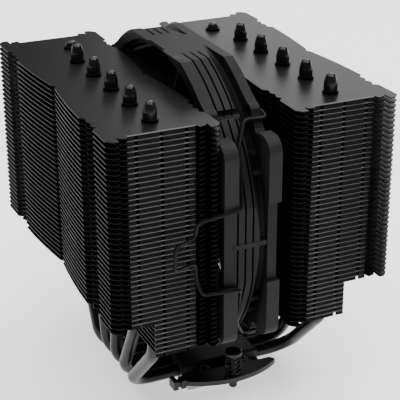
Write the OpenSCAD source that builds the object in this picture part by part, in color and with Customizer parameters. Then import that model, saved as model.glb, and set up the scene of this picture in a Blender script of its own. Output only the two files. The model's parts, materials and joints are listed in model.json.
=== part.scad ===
// Twin tower CPU air cooler: two stacks of thin fins on six U-shaped heat pipes,
// one round-framed fan between the stacks, held by two wire clips, and a base with
// two spring-loaded screws. Millimetres, +Z up. The origin is the centre of the
// cold plate's contact face. X is the direction of the air, Y is the fins' width.

/* [Fin stacks] */
// Number of fins in each stack
fin_count = 45; // [30:1:45]
// Thickness of one fin
fin_t = 0.5; // [0.4:0.1:0.7]
// Distance from one fin to the next
fin_pitch = 2.305; // [2.1:0.005:2.35]
// Height of the top fin's upper face
fin_top_z = 147.5; // [146:0.5:149]
// Half of the fins' width across the air
fin_half_w = 75; // [74:0.5:76]
// Half of a fin's depth along the air
fin_half_d = 24.9; // [24:0.1:25.5]
// Distance of each stack's middle from the middle of the cooler
tower_x = 42.1; // [41.5:0.1:44]
// How far the stacks are set back from the middle of the base
stack_x = -3; // [-3:0.1:-1]
// How far the fins are offset to one side of the base
fin_offset_y = 4; // [3:0.5:5]
// Fins at the bottom that are cut back on the outer side
cut_fins = 7; // [0:1:12]

/* [Heat pipes] */
// Diameter of a heat pipe
pipe_d = 6; // [5:0.5:6]
// Spacing of the pipes in the fins
pipe_pitch = 21.8; // [20:0.1:22]
// Spacing of the pipes in the base
pipe_base_pitch = 8.6; // [8.4:0.1:8.8]
// Height of the pipes' centre lines in the base
pipe_z = 5.5; // [5.5:0.1:6]
// Height of a pipe's end above the top fin
tip_h = 8.8; // [7:0.1:10]
// Height of the last pipe's end above the top fin
short_tip_h = 3.8; // [3:0.1:6]

/* [Base] */
// Length of the base along the air
base_len = 40; // [38:1:44]
// Width of the base's cover
cover_w = 54; // [52:1:54]
// Height of the cover's top
cover_z = 10.5; // [10:0.5:12]
// Distance of each spring screw from the middle
screw_y = 41.5; // [41:0.5:42]

/* [Fan] */
// Width of the fan's frame
fan_w = 146; // [144:1:148]
// Height of the fan's frame
fan_h = 140; // [138:1:140]
// Depth of the fan's frame
fan_t = 25; // [25:0.5:26]
// Position of the fan's middle along the air
fan_x = -5.9; // [-6:0.1:-5.5]
// Height of the fan's axis
fan_z = 90; // [88:0.5:92]
// Side of the square of the frame's mounting holes
hole_pitch = 105; // [104:0.5:105]
// Radius of the fan's duct
duct_r = 68.5; // [67:0.5:69]
// Number of blades
blade_count = 7; // [5:1:9]

/* [Clips] */
// Diameter of the clips' wire
wire_d = 1.6; // [1.2:0.1:1.6]

/* [Hidden] */
$fn = 64;

bend_swell = 0.03;           // a bend is this much thicker than the straight pipe
splice = 0.5;                // a straight part reaches this far into a bend
gap = 0.12;                  // clearance between a pipe and the hole or groove around it
pipe_r = pipe_d / 2;
pipe_bend = 12;              // bend radius of a pipe's centre line
collar_t = 0.45;             // wall of the collar that each fin raises around a pipe
collar_h = 1.2;
fin_gap = 0.25;              // slot left between one folded tab and the next fin
tab_y = fin_half_w - 4.7;    // outer face of the folded side wall
tab_x = fin_half_d - 10;     // half length of the folded side wall
slot_w = 1.4;                // slots where the tabs interlock
slot_x = [-11, 0, 11];
fold = 0.4;                  // size of the softened fold between a fin and its tab
cut_x = 4.3;                 // the lowest fins start here, measured out from the stack's middle
last_pipe_in = 4.7;          // the last pipe stands this much closer to the fan
first_pipe_y = -58.2;        // measured from the fins' middle
stack_z = fin_top_z - (fin_count - 1) * fin_pitch - fin_t;

function fin_z(i) = fin_top_z - fin_t - i * fin_pitch;
function pipe_fin_y(n) = fin_offset_y + first_pipe_y + n * pipe_pitch;
function pipe_out(n) = tower_x - (n == 5 ? last_pipe_in : 0);
function pipe_base_y(n) = (n - 2.5) * pipe_base_pitch;

// ---- fins -------------------------------------------------------------------

// One quarter of the fin's outline: notch, bulge, saw teeth, corner ear, bump, side wall
bulge_steps = 4;
bulge_y = [2.2, 42.6];
function bulge(k) = let (s = k / bulge_steps)
    [fin_half_d - 3.1 * pow(1 - s, 1.7), bulge_y[0] + s * (bulge_y[1] - bulge_y[0])];
fin_quarter = concat(
    [[fin_half_d - 4.6, 0]],
    [for (k = [0:bulge_steps]) bulge(k)],
    [[fin_half_d - 2, 44.6], [fin_half_d - 1.1, 48.2], [fin_half_d - 2.3, 50.2],
     [fin_half_d - 1, 53.8], [fin_half_d - 2.5, 56], [fin_half_d - 0.2, 58.2],
     [fin_half_d, fin_half_w - 2.6], [fin_half_d - 2.6, fin_half_w],
     [fin_half_d - 5.1, fin_half_w], [fin_half_d - 5.1, fin_half_w - 4.8],
     [fin_half_d - 6.2, fin_half_w - 3.1], [fin_half_d - 9.3, fin_half_w - 2.2],
     [tab_x, tab_y]]);
last = len(fin_quarter) - 1;
fin_outline = concat(
    fin_quarter,
    [for (i = [last:-1:0]) [-fin_quarter[i][0], fin_quarter[i][1]]],
    [for (i = [1:last]) [-fin_quarter[i][0], -fin_quarter[i][1]]],
    [for (i = [last:-1:1]) [fin_quarter[i][0], -fin_quarter[i][1]]]);

// The folded tabs of one fin's side, with the interlocking slots between them
module fin_tabs(from_x) {
    edges = concat([from_x], [for (s = slot_x) each [s - slot_w / 2, s + slot_w / 2]], [tab_x]);
    for (i = [0:2:len(edges) - 2])
        if (edges[i + 1] > from_x + 0.5)
            translate([max(edges[i], from_x), tab_y - fin_t, fin_t - fin_pitch + fin_gap])
                cube([edges[i + 1] - max(edges[i], from_x), fin_t, fin_pitch - fin_gap]);
}

// One fin of the left stack, in the stack's own frame: the outer side is -X
module fin(is_cut, has_collars) {
    low_x = is_cut ? -cut_x : -tab_x;
    difference() {
        union() {
            linear_extrude(fin_t)
                if (is_cut)
                    intersection() {
                        polygon(fin_outline);
                        translate([-cut_x, -fin_half_w - 1])
                            square([2 * fin_half_d, 2 * fin_half_w + 2]);
                    }
                else
                    polygon(fin_outline);
            for (m = [0, 1])
                mirror([0, m, 0])
                    fin_tabs(low_x);
            if (has_collars)
                for (n = [0:5])
                    fin_at_pipe(n) cylinder(h = fin_t + collar_h, r = pipe_r + gap + collar_t);
        }
        for (n = [0:5])
            fin_at_pipe(n) translate([0, 0, -1]) cylinder(h = 4, r = pipe_r + gap);
        for (y = [-tab_y, tab_y])
            translate([0, y, fin_t])
                rotate([45, 0, 0])
                    cube([2 * tab_x, fold * sqrt(2), fold * sqrt(2)], center = true);
    }
}

module fin_at_pipe(n)
    translate([tower_x - pipe_out(n), pipe_fin_y(n) - fin_offset_y, 0]) children();

module fin_stack() {
    for (i = [0:fin_count - 1])
        translate([-tower_x, fin_offset_y, fin_z(i)])
            fin(i >= fin_count - cut_fins, i == 0);
}

module left_fins()
    color([0.13, 0.13, 0.14])
        translate([stack_x, 0, 0])
            fin_stack();
module right_fins()
    color([0.13, 0.13, 0.14])
        translate([stack_x, 0, 0])
            mirror([1, 0, 0])
                fin_stack();

// ---- heat pipes -------------------------------------------------------------

// An elbow: a quarter or part of a torus, starting at the origin along +X, bending to +Z
module elbow(angle, bend, r)
    translate([0, 0, bend])
        rotate([90, 0, 0])
            rotate([0, 0, -90])
                rotate_extrude(angle = angle)
                    translate([bend, 0])
                        circle(r);

// An upright rod whose end is swaged down to a narrower, rounded nose
nose_steps = 9;
nose_taper = 0.42;           // how much narrower the nose is at its end
nose_round = 0.25;           // share of the nose's length that is rounded off
function nose_width(u) = (1 - nose_taper * pow(u, 1.3))
    * (u > 1 - nose_round ? sqrt(1 - pow((u - 1 + nose_round) / nose_round, 2)) : 1);
module capped_rod(r, straight, nose_h)
    rotate_extrude()
        polygon(concat(
            [[0, 0], [r, 0]],
            [for (k = [0:nose_steps - 1]) let (u = sin(90 * k / nose_steps))
                [r * nose_width(u), straight + nose_h * u]],
            [[0, straight + nose_h]]));

// A pipe above the base: elbow, leaning part, bend back to upright, straight part and
// nose. It leaves the base at base_y and rises through the fins at fin_y, further out.
module pipe_riser(x, base_y, fin_y, above) {
    rise = stack_z - 2 - pipe_z;
    reach = fin_y - base_y - pipe_bend;
    lean = atan2(reach, rise) + asin(pipe_bend / norm([rise, reach]));
    start = [x - pipe_bend, base_y, pipe_z];
    low = [x, base_y + pipe_bend * sin(lean), pipe_z + pipe_bend * cos(lean)];
    top = [x, fin_y, pipe_z + rise];
    high = [x, fin_y - pipe_bend * (1 - cos(lean)), top[2] - pipe_bend * sin(lean)];
    nose_h = min(4.6, above - 0.6);
    translate(start)
        rotate([-lean, 0, 0]) {
            elbow(90, pipe_bend, pipe_r + bend_swell);
            translate([pipe_bend, 0, pipe_bend - splice])
                cylinder(h = norm(high - low) + 2 * splice, r = pipe_r);
        }
    translate(high)
        rotate([0, 0, 90])
            rotate([0, lean - 90, 0])
                elbow(lean, pipe_bend, pipe_r + bend_swell);
    translate([x, fin_y, top[2] - splice])
        capped_rod(pipe_r, fin_top_z + above - nose_h - top[2] + splice, nose_h);
}

module heat_pipe(n) {
    side = pipe_fin_y(n) < pipe_base_y(n) ? -1 : 1;
    color([0.05, 0.05, 0.055])
        mirror([0, side < 0 ? 1 : 0, 0]) {
            translate([stack_x, side * pipe_base_y(n), pipe_z])
                rotate([0, 90, 0])
                    cylinder(h = 2 * (pipe_out(n) - pipe_bend + splice), r = pipe_r,
                             center = true);
            for (m = [0, 1])
                mirror([m, 0, 0])
                    pipe_riser(pipe_out(n) + (m == 0 ? stack_x : -stack_x),
                               side * pipe_base_y(n), side * pipe_fin_y(n),
                               n == 5 ? short_tip_h : tip_h);
        }
}

module heat_pipe_1() heat_pipe(0);
module heat_pipe_2() heat_pipe(1);
module heat_pipe_3() heat_pipe(2);
module heat_pipe_4() heat_pipe(3);
module heat_pipe_5() heat_pipe(4);
module heat_pipe_6() heat_pipe(5);

// ---- base -------------------------------------------------------------------

plate_w = 70;                // width of the cold plate's upper part
pad_len = 38;                // the raised contact face under it
pad_w = 42;
pad_h = 1.8;
ledge_z = pipe_z;            // upper face of the cold plate
m3_r = 1.5;                  // bracket screws
screw_x = 10;
bracket_screw_y = 31;
bracket_t = 2.3;
bracket_z = 7.2;             // underside of the bracket's crescent
bracket_in = 35;             // inner edge of the crescent
bracket_out = 45.6;          // outermost point of its bow
bracket_half = 24;
bow_r = 42.5;
foot_in = 27.4;              // inner edge of the foot on the ledge
foot_half = 14;
foot_t = 2.4;
lug_len = 5;                 // the bent lug at one end of a bracket

module pipe_grooves()
    for (n = [0:5])
        translate([-base_len, pipe_base_y(n), pipe_z])
            rotate([0, 90, 0])
                cylinder(h = 2 * base_len, r = pipe_r + gap);

module centred_box(l, w, h, z) translate([-l / 2, -w / 2, z]) cube([l, w, h]);

module cold_plate()
    color([0.62, 0.6, 0.58])
        difference() {
            union() {
                centred_box(pad_len, pad_w, pad_h + 1, 0);
                centred_box(base_len, plate_w, ledge_z - pad_h, pad_h);
            }
            pipe_grooves();
            for (x = [-screw_x, screw_x], y = [-bracket_screw_y, bracket_screw_y])
                translate([x, y, pad_h - 1])
                    cylinder(h = ledge_z, r = m3_r + 0.05);
        }

module base_cover()
    color([0.1, 0.1, 0.105])
        difference() {
            rotate([90, 0, 90])
                translate([0, 0, -base_len / 2])
                    linear_extrude(base_len)
                        polygon([[-cover_w / 2, ledge_z], [-cover_w / 2, cover_z - 1],
                                 [1 - cover_w / 2, cover_z], [cover_w / 2 - 1, cover_z],
                                 [cover_w / 2, cover_z - 1], [cover_w / 2, ledge_z]]);
            pipe_grooves();
            for (x = [-1, 1])
                translate([x * base_len / 2, 0, cover_z])
                    rotate([0, 45, 0])
                        cube([1.2, cover_w + 2, 1.2], center = true);
        }

// A bow-shaped plate, joggled down to a foot on the cold plate's ledge; -Y side
module crescent_2d()
    difference() {
        intersection() {
            translate([0, bow_r - bracket_out])
                circle(bow_r, $fn = 180);
            translate([-bracket_half, -bracket_out - 1])
                square([2 * bracket_half, bracket_out - bracket_in + 1]);
        }
        for (s = [-1, 1])
            translate([s * bracket_half, -bracket_in])
                rotate(45)
                    square(2.4, center = true);
    }

// Crescent, the step down to the foot, the foot, and a bent lug at one end
module bracket()
    difference() {
        union() {
            translate([0, 0, bracket_z])
                linear_extrude(bracket_t)
                    crescent_2d();
            translate([-foot_half, -bracket_in - 1, ledge_z])
                cube([2 * foot_half, bracket_t, bracket_z + bracket_t - ledge_z]);
            translate([-foot_half, -bracket_in - 1, ledge_z])
                cube([2 * foot_half, bracket_in + 1 - foot_in, foot_t]);
            translate([-bracket_half - lug_len, -38.6, bracket_z])
                cube([lug_len + 2, 3.6, bracket_t]);
            translate([-bracket_half - lug_len, -38.6, bracket_z - 1.4])
                cube([bracket_t, 6, bracket_t + 2]);
            translate([-bracket_half - 1.4, -39.2, bracket_z - 1])
                cube([bracket_t, 4.8, bracket_t + 1.8]);
        }
        translate([0, -screw_y, 0])
            cylinder(h = 30, r = shank_r + 0.35);
        for (x = [-screw_x, screw_x])
            translate([x, -bracket_screw_y, 0])
                cylinder(h = 30, r = m3_r + 0.15);
    }

module near_bracket() color([0.09, 0.09, 0.095]) bracket();
module far_bracket() color([0.09, 0.09, 0.095]) rotate([0, 0, 180]) bracket();

module bracket_screws()
    color([0.3, 0.3, 0.31])
        for (x = [-screw_x, screw_x], y = [-bracket_screw_y, bracket_screw_y])
            translate([x, y, 0]) {
                translate([0, 0, pad_h + 0.2])
                    cylinder(h = ledge_z + foot_t - pad_h, r = m3_r);
                difference() {
                    translate([0, 0, ledge_z + foot_t + 0.02])
                        cylinder(h = 1.8, r = 2.6);
                    translate([0, 0, ledge_z + foot_t + 0.9])
                        cylinder(h = 2, r = 1.25, $fn = 6);
                }
            }

// ---- spring screws ------------------------------------------------------------

shank_r = 2.0;
head_r = 4.1;
head_z = 20.2;               // underside of a spring screw's head
head_h = 2.0;
head_edge = 0.6;             // chamfer round the head's top
recess_h = 0.7;              // the head's dished top
cross_half = 2.6;            // half length of the cross recess
cross_w = 1.2;
neck_r = 1.5;                // narrow neck that holds the retaining clip
tip_chamfer = 0.6;
thread_end_z = 2.7;          // lower end of the screw's thread at rest
clip_z = 6.4;                // groove for the retaining clip
clip_t = 0.7;
clip_r = 3.4;
spring_wire = 1;
spring_r = 3.5;
spring_turns = 4.5;

module at_screw(side) translate([0, side * screw_y, 0]) children();

module spring_screw()
    difference() {
        union() {
            translate([0, 0, thread_end_z])
                cylinder(h = tip_chamfer, r1 = neck_r, r2 = shank_r);
            translate([0, 0, thread_end_z + tip_chamfer])
                cylinder(h = clip_z - thread_end_z - tip_chamfer, r = shank_r);
            translate([0, 0, clip_z - 0.1])
                cylinder(h = clip_t + 0.3, r = neck_r);
            translate([0, 0, clip_z + clip_t + 0.1])
                cylinder(h = head_z - clip_z - clip_t, r = shank_r);
            translate([0, 0, head_z])
                cylinder(h = head_h - head_edge, r = head_r);
            translate([0, 0, head_z + head_h - head_edge])
                cylinder(h = head_edge, r1 = head_r, r2 = head_r - head_edge);
        }
        translate([0, 0, head_z + head_h - recess_h])
            cylinder(h = 2, r = head_r - head_edge - 0.5);
        for (a = [0, 90])
            rotate(a)
                translate([-cross_half, -cross_w / 2, head_z + 0.8])
                    cube([2 * cross_half, cross_w, head_h]);
    }

// Level cut through a coil of round wire: an arc whose width follows the wire's circle
coil_steps = 7;
coil_h = head_z - bracket_z - bracket_t - 0.1;
function coil_edge(k, side) = let (a = 180 * k / coil_steps,
                                   r = spring_r + side * spring_wire / 2 * sin(a),
                                   turn = -spring_wire / 2 * cos(a) * 360 * spring_turns / coil_h)
    [r * cos(turn), r * sin(turn)];
module coil_spring()
    translate([0, 0, bracket_z + bracket_t + 0.05])
        linear_extrude(coil_h, twist = -360 * spring_turns, slices = 54, $fn = 16)
            polygon(concat([for (k = [0:coil_steps]) coil_edge(k, 1)],
                           [for (k = [coil_steps - 1:-1:1]) coil_edge(k, -1)]));

module retaining_clip()
    translate([0, 0, clip_z])
        difference() {
            cylinder(h = clip_t, r = clip_r);
            translate([0, 0, -1])
                cylinder(h = 3, r = neck_r + 0.05);
            translate([0, -1.2, -1])
                cube([5, 2.4, 3]);
        }

module near_screw() color([0.12, 0.12, 0.125]) at_screw(-1) spring_screw();
module far_screw() color([0.12, 0.12, 0.125]) at_screw(1) spring_screw();
module near_spring() color([0.45, 0.45, 0.46]) at_screw(-1) coil_spring();
module far_spring() color([0.45, 0.45, 0.46]) at_screw(1) coil_spring();
module near_retainer() color([0.3, 0.3, 0.31]) at_screw(-1) retaining_clip();
module far_retainer() color([0.3, 0.3, 0.31]) at_screw(1) retaining_clip();

// ---- fan frame ------------------------------------------------------------------
// The fan is drawn about its own axis: z runs along the air and x points down.

ring_r = 75.6;               // rim of the flanges
shroud_r = 75;               // outside of the duct between the flanges
inlet_t = 5;                 // thickness of the flanges
outlet_t = 4.4;
groove_r = 71.6;             // floor of the grooves round the duct
groove_w = 0.9;
groove_z = [-6.1, -2.4, 1.2];
slope_z = 2.1;               // the duct slopes down from here ...
recess_z = 6.6;              // ... to the deep groove next to the outlet flange
recess_r = 70.6;
ear_half = 45.5;             // half length of the straight bars at the sides
lobe_r = 3.6;                // the flanges' outline swells round each mounting hole
lobe_half = 11;
gusset_t = 1.6;              // a gusset beside each hole stiffens the outlet flange
gusset_h = 4;
hole_r = 2.15;               // mounting holes; the outlet's are wider for the clips' hooks
hook_hole_r = 2.5;
pad_from = 18.5;             // the corner pads run from here to the bars' ends
pad_out = 75;
pad_end = ear_half + 1.6;
pad_round = 7;
pad_steps = 8;
pad_skin = 0.9;
face_z = fan_t / 2;
strut_t = 3;
motor_r = 23;

module in_fan() translate([fan_x, fin_offset_y, fan_z]) rotate([0, 90, 0]) children();
module slab(z0, z1) translate([0, 0, z0]) linear_extrude(z1 - z0) children();
module ring(z0, z1, r_out, r_in)
    translate([0, 0, z0])
        difference() {
            cylinder(h = z1 - z0, r = r_out, $fn = 180);
            translate([0, 0, -1])
                cylinder(h = z1 - z0 + 2, r = r_in, $fn = 180);
        }

module flange_2d() {
    intersection() {
        circle(ring_r, $fn = 180);
        square([fan_h, fan_w], center = true);
    }
    bar_half = fan_w / 2;
    corner = 4;
    for (s = [-1, 1])
        polygon([for (p = [[-ear_half, 55], [-ear_half, bar_half - corner],
                           [-ear_half + 1.2, bar_half - 1.2], [-ear_half + corner, bar_half],
                           [ear_half - corner, bar_half], [ear_half - 1.2, bar_half - 1.2],
                           [ear_half, bar_half - corner], [ear_half, 55]])
                 [p[0], s * p[1]]]);
    for (x = [-1, 1], y = [-1, 1])
        translate([x, y] * hole_pitch / 2) {
            circle(lobe_r);
            rotate(atan2(y, x))
                polygon([[-3, -lobe_half], [0.2, -lobe_half], [lobe_r * 0.78, -lobe_r * 0.5],
                         [lobe_r * 0.78, lobe_r * 0.5], [0.2, lobe_half], [-3, lobe_half]]);
        }
}

module fan_frame()
    color([0.17, 0.17, 0.175])
        in_fan() {
            difference() {
                union() {
                    slab(-face_z, inlet_t - face_z) flange_2d();
                    slab(face_z - outlet_t, face_z) flange_2d();
                    intersection() {
                        frame_duct();
                        translate([-fan_h / 2, -fan_w / 2, -face_z])
                            cube([fan_h, fan_w, fan_t]);
                    }
                    frame_ribs();
                }
                translate([0, 0, -face_z - 1])
                    cylinder(h = fan_t + 2, r = duct_r, $fn = 180);
                translate([0, 0, -face_z - 1])
                    cylinder(h = 2.6, r = duct_r + 2, $fn = 180);
                for (x = [-1, 1], y = [-1, 1])
                    translate([x * hole_pitch / 2, y * hole_pitch / 2, -face_z - 1]) {
                        cylinder(h = fan_t + 2, r = hole_r);
                        translate([0, 0, fan_t - outlet_t])
                            cylinder(h = outlet_t + 2, r = hook_hole_r);
                    }
            }
            frame_motor_mount();
        }

// The duct with the grooves round its outside
module frame_duct()
    difference() {
        ring(-face_z + 1, face_z - 1, shroud_r, duct_r - 2);
        for (z = groove_z)
            ring(z - groove_w / 2, z + groove_w / 2, ring_r + 2, groove_r);
        rotate_extrude($fn = 180)
            polygon([[shroud_r + 0.2, slope_z], [recess_r, recess_z],
                     [recess_r, face_z - outlet_t + 0.2], [ring_r + 2, face_z - outlet_t + 0.2],
                     [ring_r + 2, slope_z]]);
    }

// Ribs across the grooves: a raised one at each side, flush ones near the corners,
// and two short ones beside each corner that carry the outlet flange
module frame_ribs() {
    for (s = [-1, 1]) {
        translate([-1.1, s * (fan_w / 2 + 0.2) - (s > 0 ? 3 : 0), -8.5])
            cube([2.2, 3, 16]);
        for (a = [-44, 44])
            rotate(s * 90 + a)
                translate([groove_r - 1, -1.3, -7])
                    cube([shroud_r - groove_r + 0.8, 2.6, 9]);
        for (x = [-1, 1])
            mirrored(x, s)
                rotate(45)
                    translate([hole_pitch / sqrt(2), hole_r + 2.3, face_z - outlet_t])
                        rotate([90, 0, 0])
                            linear_extrude(gusset_t)
                                polygon([[-5, -gusset_h], [1.3, 0.3], [-5, 0.3]]);
        for (x = [-37.5, -30, 30, 37.5])
            translate([x - 1, s > 0 ? rib_y(x) : -rib_y(x) - 4, 2.9])
                cube([2, 4, face_z - outlet_t - 2.6]);
    }
}
function rib_y(x) = sqrt(pow(recess_r, 2) - pow(abs(x) + 1, 2)) - 0.6;

// Four arms at the outlet carry the motor's cup and the tube for its bearing
module frame_motor_mount() {
    difference() {
        union() {
            for (a = [0:90:270])
                rotate(a + 45)
                    translate([motor_r - 2, -2.2, face_z - strut_t])
                        cube([duct_r - motor_r + 3, 4.4, strut_t]);
            ring(face_z - 2, face_z, motor_r, 4.44);
            ring(face_z - 5.5, face_z - 1, motor_r, motor_r - 1.4);
        }
        for (a = [0:90:270])
            rotate(a)
                translate([15, 0, face_z - 5])
                    cylinder(h = 10, r = 1.1);
    }
}

// Rubber pads that clasp the four corners of a flange; one lip reaches behind it
module corner_pads(z0, z1, lip0, lip1, behind)
    difference() {
        for (x = [-1, 1], y = [-1, 1])
            mirrored(x, y)
                slab(z0 - lip0, z1 + lip1)
                    polygon(concat(
                        [[pad_from, 68.6], [pad_from, pad_out]],
                        [for (k = [0:pad_steps]) let (a = 90 - 90 * k / pad_steps)
                            [pad_end - pad_round * (1 - cos(a)),
                             pad_out - pad_round * (1 - sin(a))]],
                        [[pad_end, 64], [ear_half - 1, 66]]));
        slab(z0, z1)
            flange_2d();
        slab(behind, behind + 4)
            circle(shroud_r + 0.1, $fn = 180);
    }
module mirrored(x, y)
    mirror([x < 0 ? 1 : 0, 0, 0])
        mirror([0, y < 0 ? 1 : 0, 0])
            children();

module inlet_pads()
    color([0.14, 0.14, 0.145])
        in_fan()
            corner_pads(-face_z, inlet_t - face_z, pad_skin, 0.8, inlet_t - face_z);
module outlet_pads()
    color([0.14, 0.14, 0.145])
        in_fan()
            corner_pads(face_z - outlet_t, face_z, 0.8, pad_skin, face_z - outlet_t - 4);

// ---- motor and impeller ------------------------------------------------------------

hub_r = 21;
hub_front = -9.6;            // front face of the hub
hub_back = 7;
blade_r = 67.4;
blade_t = 1.5;
camber_r = 70;               // radius of a blade's curvature
chord = 48;
blade_pitch = 38;            // angle between a blade and the plane of the fan
core_z = -2.6;               // stator core
core_h = 6.6;
core_r = 15;
shaft_r = 1.5;
bore_r = 1.54;
shaft_from = -7.6;
shaft_to = 9.4;

module bearing_tube()
    color([0.17, 0.17, 0.175])
        in_fan()
            difference() {
                union() {
                    ring(-3.5, face_z - 0.6, 4.4, 3.15);
                    translate([0, 0, face_z - 2])
                        cylinder(h = 1.4, r = 3.2);
                }
                translate([0, 0, face_z - 2.6])
                    cylinder(h = 1, r = 2.2);
            }

module bearing()
    color([0.7, 0.55, 0.3])
        in_fan()
            ring(-3.2, shaft_to - 2.4, 3.1, bore_r);

module circuit_board()
    color([0.05, 0.3, 0.15])
        in_fan() {
            ring(face_z - 5.1, face_z - 4.1, 17.5, 4.6);
            for (a = [20, 140, 260])
                rotate(a)
                    translate([9, -1.5, face_z - 4.2])
                        cube([4, 3, 1.4]);
        }

module stator_core()
    color([0.5, 0.5, 0.52])
        in_fan()
            union() {
                ring(core_z, core_z + core_h, 7.2, 4.45);
                for (a = [0:90:270])
                    rotate(a)
                        intersection() {
                            union() {
                                translate([6, -2.2, core_z])
                                    cube([8, 4.4, core_h]);
                                translate([12.6, -8.5, core_z])
                                    cube([3, 17, core_h]);
                            }
                            translate([0, 0, core_z - 1])
                                cylinder(h = core_h + 2, r = core_r, $fn = 96);
                        }
            }

module stator_coils()
    color([0.72, 0.4, 0.2])
        in_fan()
            for (a = [0:90:270])
                rotate(a)
                    difference() {
                        translate([7.6, -4, -4.4])
                            cube([4.6, 8, 10.2]);
                        translate([7, -2.3, -2.7])
                            cube([6, 4.6, 6.8]);
                    }

module shaft()
    color([0.8, 0.8, 0.82])
        in_fan()
            difference() {
                translate([0, 0, shaft_from])
                    cylinder(h = shaft_to - shaft_from, r = shaft_r);
                ring(shaft_to - 1.6, shaft_to - 0.9, 3, 1.15);
            }

module shaft_ring()
    color([0.3, 0.3, 0.31])
        in_fan()
            ring(shaft_to - 1.5, shaft_to - 1, 2.1, 1.2);

module rotor_yoke()
    color([0.4, 0.4, 0.42])
        in_fan() {
            ring(-6.9, 5.6, 19.2, 18.3);
            ring(-7.2, -6.4, 19.2, 3.2);
        }

module rotor_magnet()
    color([0.2, 0.2, 0.21])
        in_fan()
            ring(-5, 4.6, 18.2, 15.9);

module impeller()
    color([0.1, 0.1, 0.105])
        in_fan()
            difference() {
                union() {
                    ring(hub_front + 1.2, hub_back, hub_r, hub_r - 1.6);
                    translate([0, 0, hub_front])
                        cylinder(h = 1.2, r1 = hub_r - 1.4, r2 = hub_r, $fn = 96);
                    translate([0, 0, hub_front + 1.1])
                        cylinder(h = 0.9, r = hub_r - 0.5, $fn = 96);
                    translate([0, 0, hub_front + 1])
                        cylinder(h = 4.4, r = 2.9);
                    for (i = [0:blade_count - 1])
                        rotate(i * 360 / blade_count)
                            blade();
                }
                translate([0, 0, shaft_from])
                    cylinder(h = 20, r = shaft_r + 0.03);
            }

// A cambered blade: part of a curved shell, tilted about its own radius and trimmed
module blade()
    intersection() {
        ring(-9.2, 6.6, blade_r, hub_r - 0.8);
        rotate([blade_pitch, 0, 0])
            translate([hub_r - 4, 0, -camber_r])
                rotate([0, 90, 0])
                    intersection() {
                        difference() {
                            cylinder(h = blade_r, r = camber_r + blade_t, $fn = 180);
                            translate([0, 0, -1])
                                cylinder(h = blade_r + 2, r = camber_r, $fn = 180);
                        }
                        translate([-camber_r - 10, -chord / 2, 0])
                            cube([20, chord, blade_r]);
                    }
    }

// ---- fan clips ------------------------------------------------------------------------

// Route of the near clip's wire, from the upper hole of the outlet flange to the lower
// one: each point as [x, y, z] from the fan's middle
hook_x = face_z + wire_d / 2 + 0.8;
hook_y = -hole_pitch / 2;
clip_half = [
    [hook_x - 2.9, hook_y, 52.5], [hook_x, hook_y, 52.5], [hook_x, hook_y - 6.2, 51],
    [3.9, -57.8, 51.3], [-2.4, -65.3, 40.8], [-3.2, -68.7, 34.7], [-4.7, -72.8, 25],
    [-5.9, -76.2, 18.7], [-24, -76.4, 17.2]];
clip_middle = [
    [-25.7, -74.1, 14.5], [-25.9, -73.1, 8.8], [-37.7, -79.7, 9.3], [-38.1, -79.3, -1.6],
    [-26, -73.1, -3.2], [-25.8, -74.1, -11]];
clip_points = concat(
    clip_half,
    clip_middle,
    [for (i = [len(clip_half) - 1:-1:0]) [clip_half[i][0], clip_half[i][1], -clip_half[i][2]]]);

// Sweep of a round section along a path whose corners are rounded
wire_sides = 10;
corner_cut = 2.2;
corner_steps = 3;
function unit(v) = v / norm(v);
function curve(a, b, c, t) = (1 - t) * (1 - t) * a + 2 * t * (1 - t) * b + t * t * c;
function rounded(p) = concat([p[0]], [for (i = [1:len(p) - 2])
    let (back = p[i - 1] - p[i], on = p[i + 1] - p[i],
         cut = min(corner_cut, 0.45 * norm(back), 0.45 * norm(on)))
    for (k = [0:corner_steps])
        curve(p[i] + cut * unit(back), p[i], p[i] + cut * unit(on), k / corner_steps)],
    [p[len(p) - 1]]);
function along(q, i) = let (end = len(q) - 1)
    unit(i == 0 ? q[1] - q[0] : i == end ? q[end] - q[end - 1]
         : unit(q[i] - q[i - 1]) + unit(q[i + 1] - q[i]));
function level(v, t) = unit(v - (v * t) * t);
function sides(q) = [for (i = 0, v = level([0.1, 0.2, 1], along(q, 0)); i < len(q);
    i = i + 1, v = i < len(q) ? level(v, along(q, i)) : v) v];

module wire_path(points) {
    q = rounded(points);
    side = sides(q);
    n = wire_sides;
    rings = [for (i = [0:len(q) - 1], k = [0:n - 1])
        q[i] + wire_d / 2 * (cos(360 * k / n) * side[i]
                             + sin(360 * k / n) * cross(along(q, i), side[i]))];
    walls = [for (i = [0:len(q) - 2], k = [0:n - 1]) let (m = (k + 1) % n)
        each [[i * n + k, (i + 1) * n + k, (i + 1) * n + m], [i * n + k, (i + 1) * n + m, i * n + m]]];
    caps = [[for (k = [0:n - 1]) k], [for (k = [n - 1:-1:0]) (len(q) - 1) * n + k]];
    polyhedron(rings, concat(walls, caps));
}

module clip_wire()
    translate([fan_x, fin_offset_y, fan_z])
        wire_path(clip_points);

module near_clip() color([0.35, 0.35, 0.36]) clip_wire();
module far_clip()
    color([0.35, 0.35, 0.36])
        translate([0, 2 * fin_offset_y, 0])
            mirror([0, 1, 0])
                clip_wire();

left_fins();
right_fins();
heat_pipe_1();
heat_pipe_2();
heat_pipe_3();
heat_pipe_4();
heat_pipe_5();
heat_pipe_6();
cold_plate();
base_cover();
near_bracket();
far_bracket();
bracket_screws();
near_screw();
near_spring();
near_retainer();
far_screw();
far_spring();
far_retainer();
fan_frame();
inlet_pads();
outlet_pads();
bearing_tube();
bearing();
circuit_board();
stator_core();
stator_coils();
shaft();
shaft_ring();
rotor_yoke();
rotor_magnet();
impeller();
near_clip();
far_clip();
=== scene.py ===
import json
import math

import bpy
from mathutils import Matrix, Vector

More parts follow.
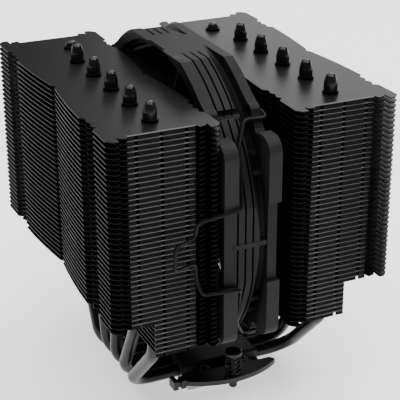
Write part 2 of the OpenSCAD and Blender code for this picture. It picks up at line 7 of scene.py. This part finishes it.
MM = 0.001
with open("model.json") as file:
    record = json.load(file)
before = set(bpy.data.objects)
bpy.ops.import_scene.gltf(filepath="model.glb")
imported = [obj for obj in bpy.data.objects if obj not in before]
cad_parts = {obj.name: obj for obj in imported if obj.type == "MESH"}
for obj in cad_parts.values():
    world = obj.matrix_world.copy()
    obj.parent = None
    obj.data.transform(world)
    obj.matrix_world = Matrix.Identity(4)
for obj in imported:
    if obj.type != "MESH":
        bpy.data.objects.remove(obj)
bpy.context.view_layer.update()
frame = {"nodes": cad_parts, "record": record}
nodes = frame["nodes"]


# ---- shader helpers ------------------------------------------------------------

def add(tree, kind, **settings):
    node = tree.nodes.new(kind)
    for key, value in settings.items():
        setattr(node, key, value)
    return node


def noise(tree, coords, scale, detail, stretch):
    """A noise texture on the piece, in features per metre."""
    mapping = add(tree, "ShaderNodeMapping")
    mapping.inputs["Scale"].default_value = stretch
    tree.links.new(coords, mapping.inputs["Vector"])
    tex = add(tree, "ShaderNodeTexNoise")
    tex.inputs["Scale"].default_value = scale
    tex.inputs["Detail"].default_value = detail
    tree.links.new(mapping.outputs["Vector"], tex.inputs["Vector"])
    return tex.outputs["Fac"]


def ramp(tree, factor, low, high, start, stop):
    """A colour that goes from low to high as the factor goes from start to stop."""
    node = add(tree, "ShaderNodeValToRGB")
    first, last = node.color_ramp.elements
    first.position = start
    last.position = stop
    first.color = (*low, 1)
    last.color = (*high, 1)
    tree.links.new(factor, node.inputs["Fac"])
    return node.outputs["Color"]


def to_range(tree, factor, low, high, start, stop):
    """A value that goes from low to high as the factor goes from start to stop."""
    node = add(tree, "ShaderNodeMapRange")
    node.inputs["From Min"].default_value = start
    node.inputs["From Max"].default_value = stop
    node.inputs["To Min"].default_value = low
    node.inputs["To Max"].default_value = high
    tree.links.new(factor, node.inputs["Value"])
    return node.outputs["Result"]


def blend(tree, factor, first, second):
    """The colour first where the factor is 0, and second where it is 1."""
    mix = add(tree, "ShaderNodeMix", data_type="RGBA")
    tree.links.new(factor, mix.inputs["Factor"])
    sockets = [s for s in mix.inputs if s.type == "RGBA"]
    for socket, value in zip(sockets, (first, second)):
        if isinstance(value, tuple):
            socket.default_value = (*value, 1)
        else:
            tree.links.new(value, socket)
    return [s for s in mix.outputs if s.type == "RGBA"][0]


def levelness(tree):
    """How far a face looks straight up or down: 0 on a wall, 1 on a level face."""
    normal = add(tree, "ShaderNodeNewGeometry").outputs["True Normal"]
    split = add(tree, "ShaderNodeSeparateXYZ")
    tree.links.new(normal, split.inputs["Vector"])
    flat = add(tree, "ShaderNodeMath", operation="ABSOLUTE")
    tree.links.new(split.outputs["Z"], flat.inputs[0])
    return flat.outputs["Value"]


# Where the noise of the colour and of the roughness goes from its low to its high value
CLOUDS_FROM, CLOUDS_TO = 0.3, 0.7
PATCHES_FROM, PATCHES_TO = 0.25, 0.3
PATCHES_PER_CLOUD = 2.3
# Levelness at which a wall turns into a slope, and a slope into a level face, for the painted
# shade on walls and the painted highlight on slopes
SLOPE_FROM, SLOPE_TO = 0.4, 0.6
LEVEL_FROM, LEVEL_TO = 0.85, 0.95
COAT_ROUGHNESS = 0.1


def surface(name, low, high, rough, grain, cloud, metallic=0.0, stretch=(1, 1, 1), coat=0.0,
            specular=0.5, painted_wall_shade=None, painted_fold_highlight=None, wall_specular=0.5):
    """A finish with clouded colour and roughness and a fine grain in the surface.

    rough is the lowest and highest roughness, cloud the patches per metre, and grain is
    (features per metre, strength, depth in metres). The wall colour is a painted shade on
    upright faces and the fold colour a painted highlight on sloping faces, for folded sheet
    metal, where low and high colour the level faces alone."""
    mat = bpy.data.materials.new(name)
    mat.use_nodes = True
    tree = mat.node_tree
    shader = tree.nodes["Principled BSDF"]
    coords = add(tree, "ShaderNodeTexCoord").outputs["Object"]
    clouds = noise(tree, coords, cloud, 4.0, stretch)
    colour = ramp(tree, clouds, low, high, CLOUDS_FROM, CLOUDS_TO)
    # Upright faces take a painted shade and sloping faces a painted highlight in place of the
    # clouded colour; only level faces keep it.
    if painted_wall_shade:
        flat = levelness(tree)
        fold_highlight_mask = to_range(tree, flat, 0, 1, SLOPE_FROM, SLOPE_TO)
        level = to_range(tree, flat, 0, 1, LEVEL_FROM, LEVEL_TO)
        colour = blend(tree, level, blend(tree, fold_highlight_mask, painted_wall_shade, painted_fold_highlight), colour)
        shine = to_range(tree, level, wall_specular, specular, 0, 1)
        tree.links.new(shine, shader.inputs["Specular IOR Level"])
    else:
        shader.inputs["Specular IOR Level"].default_value = specular
    tree.links.new(colour, shader.inputs["Base Color"])
    patches = noise(tree, coords, cloud * PATCHES_PER_CLOUD, 5.0, stretch)
    roughness = to_range(tree, patches, *rough, PATCHES_FROM, PATCHES_TO)
    tree.links.new(roughness, shader.inputs["Roughness"])
    grain_scale, grain_strength, grain_depth = grain
    fine = noise(tree, coords, grain_scale, 2.0, stretch)
    bump = add(tree, "ShaderNodeBump")
    bump.inputs["Strength"].default_value = grain_strength
    bump.inputs["Distance"].default_value = grain_depth
    tree.links.new(fine, bump.inputs["Height"])
    tree.links.new(bump.outputs["Normal"], shader.inputs["Normal"])
    shader.inputs["Metallic"].default_value = metallic
    shader.inputs["Coat Weight"].default_value = coat
    shader.inputs["Coat Roughness"].default_value = COAT_ROUGHNESS
    return mat


def grey(value):
    return (value, value, value)


def warm(value, by=0.02):
    """A grey with a touch more red and less blue."""
    return (value * (1 + by), value, value * (1 - by))


# ---- finishes --------------------------------------------------------------------

FINISHES = {
    # The cooler's metal, all black but for the cold plate
    "fin_black": dict(
        low=warm(0.004), high=warm(0.007), rough=(0.27, 0.36), grain=(5200, 0.12, 0.00001),
        cloud=30, stretch=(1, 0.25, 1), specular=0.15,
        # Painted shade on the fins' upright faces and a painted highlight on their sloping
        # chamfer faces
        painted_wall_shade=warm(0.0025), painted_fold_highlight=warm(0.12), wall_specular=0.045),
    "pipe_black": dict(
        low=grey(0.005), high=grey(0.009), rough=(0.18, 0.28), grain=(900, 0.05, 0.00002),
        cloud=60, metallic=0.2, coat=0.08, specular=0.3),
    "plate_metal": dict(
        low=warm(0.34), high=warm(0.42), rough=(0.22, 0.34), grain=(2200, 0.15, 0.00001),
        cloud=80, metallic=1.0, stretch=(0.05, 1, 1)),
    "cover_black": dict(
        low=grey(0.02), high=grey(0.028), rough=(0.34, 0.46), grain=(3200, 0.12, 0.00001),
        cloud=60, metallic=0.2, stretch=(0.3, 1, 1), specular=0.4),
    "bracket_black": dict(
        low=grey(0.014), high=grey(0.022), rough=(0.26, 0.38), grain=(2600, 0.12, 0.00002),
        cloud=70, metallic=0.4),
    "screw_black": dict(
        low=grey(0.016), high=grey(0.028), rough=(0.2, 0.34), grain=(2600, 0.1, 0.00002),
        cloud=160, metallic=0.8),
    "screw_steel": dict(
        low=grey(0.01), high=grey(0.02), rough=(0.3, 0.42), grain=(2600, 0.1, 0.00002),
        cloud=160, metallic=0.5),
    "spring_steel": dict(
        low=grey(0.02), high=grey(0.035), rough=(0.2, 0.32), grain=(2600, 0.08, 0.00002),
        cloud=200, metallic=0.8),
    # The fan's plastic and rubber, and its clips
    "frame_plastic": dict(
        low=warm(0.005), high=warm(0.008), rough=(0.38, 0.5), grain=(2600, 0.3, 0.00004),
        cloud=40, specular=0.13),
    "pad_rubber": dict(
        low=warm(0.0055), high=warm(0.008), rough=(0.5, 0.62), grain=(3400, 0.3, 0.00004),
        cloud=60, specular=0.22),
    "impeller_plastic": dict(
        low=grey(0.008), high=grey(0.012), rough=(0.36, 0.5), grain=(2600, 0.22, 0.00003),
        cloud=40, specular=0.25),
    "clip_wire": dict(
        low=grey(0.003), high=grey(0.005), rough=(0.24, 0.36), grain=(2200, 0.12, 0.00002),
        cloud=150, specular=0.1),
    # The fan's motor
    "bearing_brass": dict(
        low=(0.5, 0.34, 0.15), high=(0.62, 0.44, 0.2), rough=(0.3, 0.42),
        grain=(1800, 0.1, 0.00002), cloud=200, metallic=1.0),
    "board_green": dict(
        low=(0.01, 0.08, 0.03), high=(0.015, 0.12, 0.045), rough=(0.35, 0.5),
        grain=(1500, 0.2, 0.00003), cloud=250),
    "core_steel": dict(
        low=grey(0.3), high=grey(0.42), rough=(0.3, 0.45), grain=(1800, 0.2, 0.00002),
        cloud=120, metallic=1.0),
    "coil_copper": dict(
        low=(0.45, 0.17, 0.06), high=(0.6, 0.25, 0.1), rough=(0.2, 0.32),
        grain=(1400, 0.6, 0.0001), cloud=300, metallic=1.0, stretch=(4, 0.3, 0.3)),
    "magnet": dict(
        low=grey(0.05), high=grey(0.08), rough=(0.6, 0.75), grain=(1800, 0.3, 0.00003),
        cloud=150, metallic=0.1),
    "ring_plastic": dict(
        low=grey(0.5), high=grey(0.6), rough=(0.4, 0.5), grain=(1500, 0.2, 0.00002),
        cloud=250),
}

looks = {name: surface(name, **finish) for name, finish in FINISHES.items()}
slot_of = {s["node"]: s["material_slot"] for s in frame["record"]["subparts"]}
for name, piece in nodes.items():
    piece.data.materials.clear()
    piece.data.materials.append(looks[slot_of[name]])

# ---- edges -----------------------------------------------------------------------

# Smooth shading keeps round walls round; hard corners stay sharp.
SMOOTH_ANGLE = math.radians(32)
for piece in nodes.values():
    piece.data.shade_smooth()
    piece.data.set_sharp_from_angle(angle=SMOOTH_ANGLE)

# The sheet, machined and moulded parts have a small softened edge, in mm, that catches the
# light. The fins' is a plain chamfer, which carries their painted fold highlight.
EDGE_ANGLE = math.radians(40)
SOFT_EDGES = {
    "left_fins": 0.05, "right_fins": 0.05, "fan_frame": 0.45, "inlet_pads": 0.7,
    "outlet_pads": 0.7, "base_cover": 0.3, "cold_plate": 0.25, "near_bracket": 0.3,
    "far_bracket": 0.3, "near_screw": 0.25, "far_screw": 0.25, "bracket_screws": 0.15,
    "impeller": 0.25,
}
for name, width in SOFT_EDGES.items():
    bevel = nodes[name].modifiers.new("edge", "BEVEL")
    bevel.width = width * MM
    bevel.segments = 1 if name.endswith("fins") else 2
    bevel.limit_method = "ANGLE"
    bevel.angle_limit = EDGE_ANGLE
    bevel.use_clamp_overlap = True
    bevel.harden_normals = True

# ---- floor and world ---------------------------------------------------------------

FLOOR_HALF = 6.0
FLOOR_GAP = 0.0004           # the floor lies just under the cold plate
FLOOR_GLOW = 0.92
WORLD_STRENGTH = 0.1
WHITE = (1, 1, 1, 1)

floor_mesh = bpy.data.meshes.new("floor")
corners = [(x * FLOOR_HALF, y * FLOOR_HALF, 0) for x, y in ((-1, -1), (1, -1), (1, 1), (-1, 1))]
floor_mesh.from_pydata(corners, [], [(0, 1, 2, 3)])
floor = bpy.data.objects.new("floor", floor_mesh)
bpy.context.scene.collection.objects.link(floor)
floor.location.z = -FLOOR_GAP
floor_finish = surface("floor", low=grey(0.94), high=grey(0.95), rough=(0.6, 0.7),
                       grain=(300, 0.02, 0.0001), cloud=2)
floor_shader = floor_finish.node_tree.nodes["Principled BSDF"]
floor_shader.inputs["Emission Color"].default_value = WHITE
floor_shader.inputs["Emission Strength"].default_value = FLOOR_GLOW
floor_mesh.materials.append(floor_finish)

world = bpy.data.worlds.new("world")
bpy.context.scene.world = world
world.use_nodes = True
background = world.node_tree.nodes["Background"]
background.inputs["Color"].default_value = WHITE
background.inputs["Strength"].default_value = WORLD_STRENGTH

# ---- lights ------------------------------------------------------------------------

CENTRE = Vector((-0.003, 0.004, 0.08))


def soft_light(name, place, size, power):
    """A rectangular light that looks at the cooler's middle."""
    data = bpy.data.lights.new(name, "AREA")
    data.shape = "RECTANGLE"
    data.size, data.size_y = size
    data.energy = power
    light = bpy.data.objects.new(name, data)
    bpy.context.scene.collection.objects.link(light)
    light.location = place
    aim = CENTRE - Vector(place)
    light.rotation_euler = aim.to_track_quat("-Z", "Y").to_euler()


soft_light("overhead_light", (0.0, 0.3, 3.0), (5.0, 5.0), 260)
soft_light("front_light", (0.55, -0.58, 1.25), (0.5, 0.5), 7)
soft_light("back_light", (1.1, 1.6, 0.8), (0.9, 0.8), 5.4)

# ---- camera ------------------------------------------------------------------------

CAMERA_AT = Vector((-0.2268, -0.4987, 0.3241))
CAMERA_BACK = Vector((-0.3816, -0.8315, 0.4037))     # from the subject to the camera
CAMERA_ROLL = math.radians(-0.12)
SENSOR_MM = 36
LENS_MM = 113.21
CLIP_START = 0.01

camera_data = bpy.data.cameras.new("camera")
camera_data.sensor_width = SENSOR_MM
camera_data.lens = LENS_MM
camera_data.clip_start = CLIP_START
camera_data.dof.use_dof = False
camera = bpy.data.objects.new("camera", camera_data)
bpy.context.scene.collection.objects.link(camera)
roll = Matrix.Rotation(CAMERA_ROLL, 3, "Z").to_quaternion()
turn = CAMERA_BACK.to_track_quat("Z", "Y") @ roll
camera.rotation_euler = turn.to_euler()
camera.location = CAMERA_AT
bpy.context.scene.camera = camera

bpy.context.view_layer.update()
